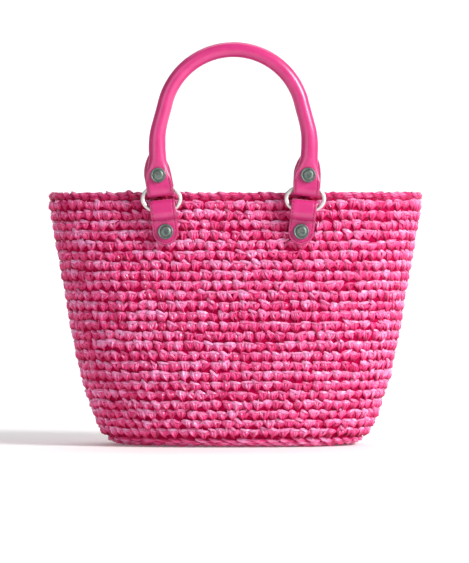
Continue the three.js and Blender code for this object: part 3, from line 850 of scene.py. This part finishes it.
# Radius and height round each turned piece.
HEAD = [(0.0057, 0.0), (0.0061, 0.0004), (0.0061, 0.0010), (0.0059, 0.0015), (0.0055, 0.00175),
        (0.0051, 0.00165), (0.0047, 0.0013), (0.0044, 0.0013), (0.0041, 0.0017), (0.0036, 0.00205),
        (0.0029, 0.0023), (0.0022, 0.0024), (0.0019, 0.00225), (0.0016, 0.0022), (0.0008, 0.0023),
        (0.00002, 0.0023)]
NUT = [(0.00002, 0.0), (0.0046, 0.0), (0.0048, 0.0003), (0.0048, 0.0012), (0.0044, 0.0017),
       (0.0038, 0.0020), (0.0030, 0.00205), (0.0026, 0.0017), (0.00002, 0.00165)]
PATCH = [(0.00002, 0.0), (0.0091, 0.0), (0.0095, 0.0003), (0.0095, 0.0012), (0.0091, 0.0015),
         (0.0080, 0.00155), (0.0077, 0.00135), (0.0074, 0.00155), (0.00002, 0.00155)]
TO_FRONT = turned_about("X", math.pi / 2)
TO_BACK = turned_about("X", -math.pi / 2)
# How far behind the ring's pivot each piece sits on its stud.
TAB_HEAD, PATCH_FACE, TAB_NUT = 0.00156, 0.01296, 0.01476
END_HEAD, END_NUT = -0.00536, 0.0079
END_STUD_RISE = 0.0099
END_HEAD_SCALE = 0.965
PATCH_STITCHES, PATCH_SEAM, PATCH_SEAM_LIFT = 18, 0.0077, 0.00145

for side, hand, spot in STATIONS:
    tab_axis = place_of(side, hand, "tab") @ Matrix.Translation((0, 0, -STUD_DROP))
    end_axis = place_of(side, hand, "end") @ Matrix.Translation((0, 0, END_STUD_RISE))
    handle = f"{side}_handle"
    for what, profile, axis, depth, turn, body, slot, finish, scale in (
        ("tab_stud", HEAD, tab_axis, TAB_HEAD, TO_FRONT, "bag", "gunmetal", gunmetal, 1),
        ("inner_patch", PATCH, tab_axis, PATCH_FACE, TO_BACK, "bag", "leather", leather, 1),
        ("tab_nut", NUT, tab_axis, TAB_NUT, TO_BACK, "bag", "gunmetal", gunmetal, 1),
        ("end_stud", HEAD, end_axis, END_HEAD, TO_FRONT, handle, "gunmetal", gunmetal, END_HEAD_SCALE),
        ("end_nut", NUT, end_axis, END_NUT, TO_BACK, handle, "gunmetal", gunmetal, 1),
    ):
        piece = turned(f"{spot}_{what}_turned", profile)
        size = Matrix.Diagonal((scale, scale, 1, 1))
        settle(piece, axis @ Matrix.Translation((0, depth, 0)) @ turn @ size, body, slot, finish,
               f"{spot}_{what}")
    threads = []
    for k in range(PATCH_STITCHES):
        angle = 2 * math.pi * k / PATCH_STITCHES
        out = Vector((math.cos(angle), 0, math.sin(angle)))
        at = out * PATCH_SEAM + Vector((0, PATCH_FACE + PATCH_SEAM_LIFT, 0))
        threads.append((at, Vector((-out.z, 0, out.x)), Vector((0, 1, 0))))
    sewing = stitch_line(f"{spot}_patch_sewing", threads, 42)
    settle(sewing, tab_axis, "bag", "leather", thread)

# ---------------------------------------------------------------------------------------------
# The handles: a rope core rolled tightly in one strip of leather and sewn along the back. At each
# end the roll opens out flat, turns under round the ring, comes up behind and is held by a stud.

ARCH_RADIUS = 0.0545
ARCH_TOP = 0.10736
ARCH_STARTS = math.radians(12)
ARCH_STEPS = 24
GRIP = 0.0059
BACK_SEAM_LIFT = 0.00005
# Half the arch as distance from the middle and height: its leg first, then its round top.
half_arch = [(0.0588, 0.0226), (0.0592, 0.0336), (0.0582, 0.0452)]
for k in range(ARCH_STEPS + 1):
    angle = ARCH_STARTS + (math.pi / 2 - ARCH_STARTS) * k / ARCH_STEPS
    half_arch.append((ARCH_RADIUS * math.cos(angle),
                      ARCH_TOP - ARCH_RADIUS + ARCH_RADIUS * math.sin(angle)))


CURVE_STEPS = 12


def smooth_line(points, steps):
    """A smooth run of points through the given ones, evenly spaced."""
    line = np.array(points)
    padded = np.concatenate([[2 * line[0] - line[1]], line, [2 * line[-1] - line[-2]]])
    out = []
    for k in range(1, len(padded) - 2):
        for t in np.linspace(0, 1, CURVE_STEPS, endpoint=False):
            a, b, c, d = padded[k - 1:k + 3]
            out.append(0.5 * (2 * b + (c - a) * t + (2 * a - 5 * b + 4 * c - d) * t ** 2
                              + (3 * b - a - 3 * c + d) * t ** 3))
    out.append(line[-1])
    out = np.array(out)
    run = np.concatenate([[0], np.cumsum(np.hypot(*np.diff(out, axis=0).T))])
    even = np.linspace(0, run[-1], steps)
    return np.stack([np.interp(even, run, out[:, k]) for k in (0, 1)], axis=1)


GRIP_LINE = smooth_line([(-x, z) for x, z in half_arch] + half_arch[-2::-1], 90)

# Where the roll opens out flat: height above the pivot, how far behind it the middle lies, half
# width, half thickness and how square the section is.
OPENING = [
    (0.0226, -0.0001, 0.0068, 0.0058, 2.1), (0.0196, -0.0002, 0.0072, 0.0055, 2.3),
    (0.0166, -0.0004, 0.0079, 0.0049, 2.8), (0.0136, -0.0007, 0.0088, 0.0044, 3.4),
    (0.0111, -0.0011, 0.0095, 0.00396, 3.8), (0.0088, -0.0019, 0.0099, 0.00316, 4.2),
    (0.0076, -0.0026, 0.0100, 0.00246, 4.6), (0.0068, -0.0034, 0.0100, 0.00166, 5.0),
    (0.0058, -FOLD_RADIUS, 0.0101, LEATHER, SQUARE_EDGE),
]
END_FOLD = -0.001487
# The tail, turned under and up behind the stud: its height and half width.
TAIL_OUTLINE = np.array([(-0.0065, 0.0103), (0.0020, 0.0107), (0.0114, 0.0106), (0.0150, 0.0101),
                         (0.0174, 0.0095), (0.0200, 0.0087), (0.0234, 0.0072), (0.0260, 0.0057),
                         (0.0285, 0.0040), (0.0310, 0.0022), (0.0326, 0.0004)])


def tail_half_width(height):
    return float(np.interp(height, TAIL_OUTLINE[:, 0], TAIL_OUTLINE[:, 1]))


END_LEAN, END_LEAN_RISE = -0.0010, 0.012
TAIL_PLANE = 0.00685
TAIL_HEIGHTS = (0.0326, 0.0320, 0.0310, 0.0298, 0.0285, 0.0272, 0.0260, 0.0247, 0.0234, 0.0217,
                0.0200, 0.0187, 0.0174, 0.0150, 0.0114, 0.0080)
TAIL_TO_FOLD = [(0.0064, 0.0052), (0.0056, 0.0028), (0.0048, 0.0008), (0.0044, -0.0004)]
FRONT_HEIGHTS = (0.0002, 0.0018, 0.0036, 0.0050)
FRONT_WIDEST, FRONT_NARROWING, FRONT_TOP = 0.0103, 0.0002, 0.0058
FOLD_STEPS = 12
ROLL_OUT, ROLL_STARTS, ROLL_RUN = 0.0008, 0.0111, 0.0115
SWELL, SWELL_TOP, SWELL_RUN = 0.0007, 0.052, 0.018


def share(value):
    """A value kept between none and all."""
    return min(max(value, 0), 1)


def lean_of_ends(height):
    """Both ends of a handle lie a little to the left of their rings above the fold."""
    return END_LEAN * share(height / END_LEAN_RISE)


def end_frame(hand):
    """Where an end of the handle stands in the handle's own frame."""
    spread = hand * (RING_SPREAD + STRAP_SHIFT)
    return Matrix.Translation((spread, 0, 0)) @ turned_about("Y", hand * TOE_IN)


def end_stations(hand):
    """One end of the cover, from the tip of its tail round the ring and up to the roll."""
    line = [(TAIL_PLANE, height) for height in TAIL_HEIGHTS] + TAIL_TO_FOLD
    back_stations = len(line) + FOLD_STEPS // 2
    for k in range(FOLD_STEPS + 1):
        angle = math.pi * k / FOLD_STEPS
        line.append((FOLD_RADIUS * math.cos(angle), END_FOLD - FOLD_RADIUS * math.sin(angle)))
    line += [(-FOLD_RADIUS, height) for height in FRONT_HEIGHTS]
    stations = []
    for k, (y, z) in enumerate(line):
        along = facing(line, k)
        face = Vector((0, -along.z, along.y))
        width = FRONT_WIDEST - FRONT_NARROWING * share(z / FRONT_TOP)
        if k < back_stations:
            width = tail_half_width(z)
        stations.append((Vector((lean_of_ends(z), y, z)), ACROSS, face, width, LEATHER, SQUARE_EDGE))
    for z, y, half_width, half_thickness, square in OPENING[::-1]:
        rolled = share((z - ROLL_STARTS) / ROLL_RUN)
        shift = lean_of_ends(z) * (1 - rolled) - hand * ROLL_OUT * rolled
        stations.append((Vector((shift, y, z)), ACROSS, Vector((0, -1, 0)), half_width,
                         half_thickness, square))
    turn = end_frame(hand)
    twist = turn.to_3x3()
    return [(turn @ middle, twist @ wide, twist @ thick, *section)
            for middle, wide, thick, *section in stations]


def cover_stations():
    """The whole cover, from the tail of its left end over the arch to the tail of its right end."""
    line = GRIP_LINE[3:-3]
    arch = []
    for k in range(len(line)):
        x, z = line[k]
        x0, z0 = line[max(k - 1, 0)]
        x1, z1 = line[min(k + 1, len(line) - 1)]
        tangent = Vector((x1 - x0, 0, z1 - z0)).normalized()
        wide = Vector((tangent.z, 0, -tangent.x))
        swell = SWELL * share((SWELL_TOP - z) / SWELL_RUN)
        arch.append((Vector((x, 0, z)), wide, Vector((0, -1, 0)), GRIP + swell, GRIP, 2.0))
    right_end = [(middle, -wide, *rest) for middle, wide, *rest in end_stations(1)[::-1]]
    return end_stations(-1) + arch + right_end


def back_seam():
    """The stitches that close the roll, along the back of the arch."""
    spots = []
    for k in range(2, len(GRIP_LINE) - 3):
        x, z = GRIP_LINE[k]
        run = Vector((GRIP_LINE[k + 1][0] - x, 0, GRIP_LINE[k + 1][1] - z)).normalized()
        spots.append((Vector((x, GRIP + BACK_SEAM_LIFT, z)), run, Vector((0, 1, 0))))
    return spots


FRONT_SEAM_HEIGHTS = (-0.0042, -0.0018, 0.0006, 0.0030, 0.0054)
FRONT_SEAM, TAIL_SEAM_INSET = 0.0084, 0.0016


def end_seams():
    """The stitches at both ends: beside the fold in front, and along the edges of the tail."""
    spots = []
    for hand in (-1, 1):
        turn = end_frame(hand)
        twist = turn.to_3x3()
        for z in FRONT_SEAM_HEIGHTS:
            for edge in (-1, 1):
                across = lean_of_ends(z) + edge * FRONT_SEAM
                at = Vector((across, -FOLD_RADIUS - LEATHER - THREAD_LIFT, z))
                spots.append((turn @ at, twist @ Vector((0, 0, 1)), Vector((0, -1, 0))))
        for z, z1 in zip(TAIL_OUTLINE[1:-2, 0], TAIL_OUTLINE[2:-1, 0]):
            for edge in (-1, 1):
                run = Vector((edge * (tail_half_width(z1) - tail_half_width(z)), 0, z1 - z))
                across = lean_of_ends(z) + edge * (tail_half_width(z) - TAIL_SEAM_INSET)
                at = Vector((across, TAIL_PLANE + LEATHER + THREAD_LIFT, z))
                spots.append((turn @ at, twist @ run.normalized(), Vector((0, 1, 0))))
    return spots


for side in ("front", "rear"):
    handle = f"{side}_handle"
    place = place_of(side, 1, "handle")
    cover = sleeve(f"{handle}_leather", cover_stations(), 32)
    settle(cover, place, handle, "leather", leather, f"{handle}_cover")
    sewing = stitch_line(f"{handle}_back_seam", back_seam(), 43)
    settle(sewing, place, handle, "leather", thread)
    sewing = stitch_line(f"{handle}_end_sewing", end_seams(), 44)
    settle(sewing, place, handle, "leather", thread)

# ---------------------------------------------------------------------------------------------
# The rope cores: undyed cotton rope that fills the rolled part of each handle. The cover hides them,
# so they keep the shape that they already have.

ROPE_DARK, ROPE_LIGHT = (0.62, 0.54, 0.40), (0.84, 0.76, 0.60)
rope, rope_shader, where = finish_named("cotton_rope", roughness=0.85)
feed(rope_shader, where.noise(900).ramp((0.3, ROPE_DARK), (0.7, ROPE_LIGHT)))
for side in ("front", "rear"):
    core = frame["nodes"][f"{side}_handle_core"]
    core.data.materials.clear()
    core.data.materials.append(rope)
